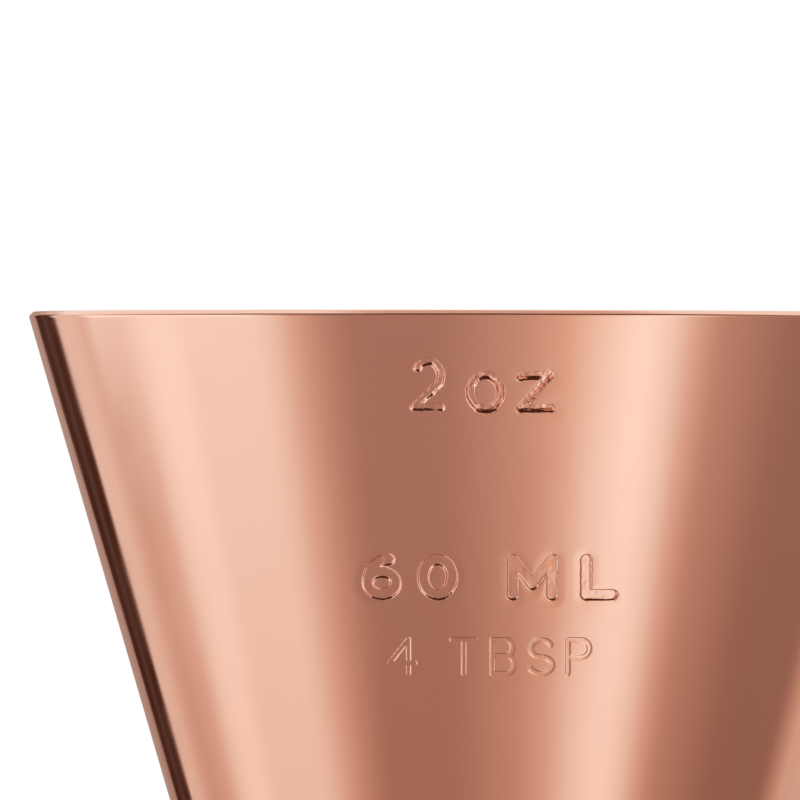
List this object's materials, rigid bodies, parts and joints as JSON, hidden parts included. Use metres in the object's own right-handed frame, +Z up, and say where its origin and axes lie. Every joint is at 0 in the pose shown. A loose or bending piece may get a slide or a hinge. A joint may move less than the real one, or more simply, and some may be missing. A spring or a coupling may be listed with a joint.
{
  "type": "bar jigger",
  "caption": "Double-ended conical bar jigger in polished copper: a larger and a smaller measuring cup joined back to back at a collared waist",
  "frame": {"origin": "centre of the small cup's lip, on the surface that the jigger stands on", "axes": "+Z up along the common axis of both cups, from the small cup to the large one; -Y points at the side with the stamped marks"},
  "size_m": [0.0538, 0.0536, 0.0998],
  "materials": {
    "copper_plate": "mirror polished copper plating on pressed stainless steel",
    "copper_collar": "mirror polished copper plating on a turned steel ring",
    "braze": "as-set silver braze, hidden between the floors"
  },
  "bodies": {
    "root": {"large_cup": "copper_plate", "small_cup": "copper_plate", "waist_collar": "copper_collar", "braze_disc": "braze"}
  },
  "joints": []
}
